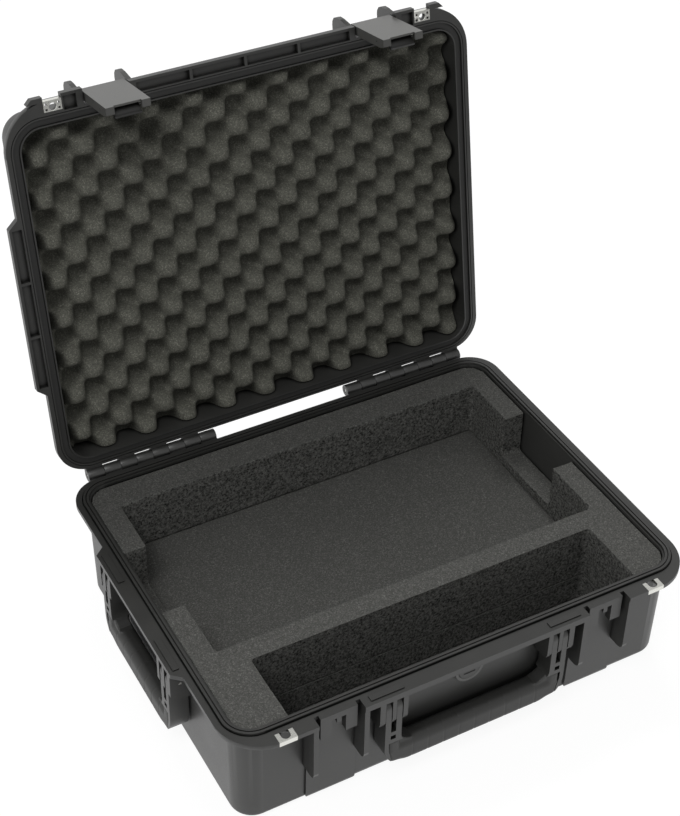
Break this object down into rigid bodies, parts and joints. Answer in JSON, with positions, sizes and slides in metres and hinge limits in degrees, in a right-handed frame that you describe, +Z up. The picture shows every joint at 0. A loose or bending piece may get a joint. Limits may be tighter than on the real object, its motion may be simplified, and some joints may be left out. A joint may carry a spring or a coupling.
{
  "type": "guitar pedal case",
  "caption": "Moulded hard case with hinged egg-crate lid, foam cradle, latches and folding handles for a floor processor or pedals.",
  "frame": {"origin": "centre of the base's bottom face, on the surface it stands on", "axes": "+X to the right seen from the latch side, +Y from the latches to the hinges, +Z up"},
  "size_m": [0.6115, 0.6281, 0.6361],
  "materials": {
    "shell_plastic": "satin",
    "latch_plastic": "satin",
    "handle_plastic": "satin",
    "grip_rubber": "matte",
    "foam": "matte",
    "seal_rubber": "matte",
    "stainless": "satin",
    "pin_steel": "satin"
  },
  "bodies": {
    "base": {"base_shell": "shell_plastic", "base_foam_floor": "foam", "base_foam_riser": "foam", "base_foam_cradle": "foam", "pressure_valve_body": "shell_plastic", "pressure_valve_disc": "shell_plastic", "base_padlock_plate_left": "stainless", "base_padlock_plate_right": "stainless", "hinge_pin_left": "pin_steel", "hinge_pin_right": "pin_steel", "front_handle_pins": "pin_steel", "side_handle_pins": "pin_steel"},
    "lid": {"lid_shell": "shell_plastic", "lid_gasket": "seal_rubber", "lid_foam": "foam", "lid_padlock_plate_left": "stainless", "lid_padlock_plate_right": "stainless", "latch_pivot_pin_left": "pin_steel", "latch_pivot_pin_right": "pin_steel"},
    "front_handle": {"front_handle_frame": "handle_plastic", "front_handle_grip": "grip_rubber"},
    "side_handle": {"side_handle_frame": "handle_plastic", "side_handle_grip": "grip_rubber"},
    "latch_left": {"latch_cover_left": "latch_plastic", "trigger_pin_left": "pin_steel", "trigger_springs_left": "pin_steel"},
    "trigger_left": {"latch_trigger_left": "latch_plastic"},
    "latch_right": {"latch_cover_right": "latch_plastic", "trigger_pin_right": "pin_steel", "trigger_springs_right": "pin_steel"},
    "trigger_right": {"latch_trigger_right": "latch_plastic"}
  },
  "joints": [
    {"name": "lid_hinge", "type": "hinge", "parent": "base", "child": "lid", "pos_m": [0, 0.2395, 0.14865], "axis": [-1, 0, 0], "range_deg": [-100, 0]},
    {"name": "latch_left_swing", "type": "hinge", "parent": "lid", "child": "latch_left", "pos_m": [-0.1735, 0.33047, 0.61646], "axis": [-1, 0, 0], "range_deg": [-4, 110]},
    {"name": "trigger_left_press", "type": "hinge", "parent": "latch_left", "child": "trigger_left", "pos_m": [-0.1735, 0.27458, 0.62774], "axis": [1, 0, 0], "range_deg": [0, 12], "stiffness_Nm_per_rad": 0.02, "springref_deg": -17.19},
    {"name": "latch_right_swing", "type": "hinge", "parent": "lid", "child": "latch_right", "pos_m": [0.1735, 0.33047, 0.61646], "axis": [-1, 0, 0], "range_deg": [-4, 110]},
    {"name": "trigger_right_press", "type": "hinge", "parent": "latch_right", "child": "trigger_right", "pos_m": [0.1735, 0.27458, 0.62774], "axis": [1, 0, 0], "range_deg": [0, 12], "stiffness_Nm_per_rad": 0.02, "springref_deg": -17.19},
    {"name": "front_handle_swing", "type": "hinge", "parent": "base", "child": "front_handle", "pos_m": [0, -0.231, 0.125], "axis": [-1, 0, 0], "range_deg": [0, 95]},
    {"name": "side_handle_swing", "type": "hinge", "parent": "base", "child": "side_handle", "pos_m": [-0.2989, 0, 0.125], "axis": [0, 1, 0], "range_deg": [0, 95]}
  ]
}
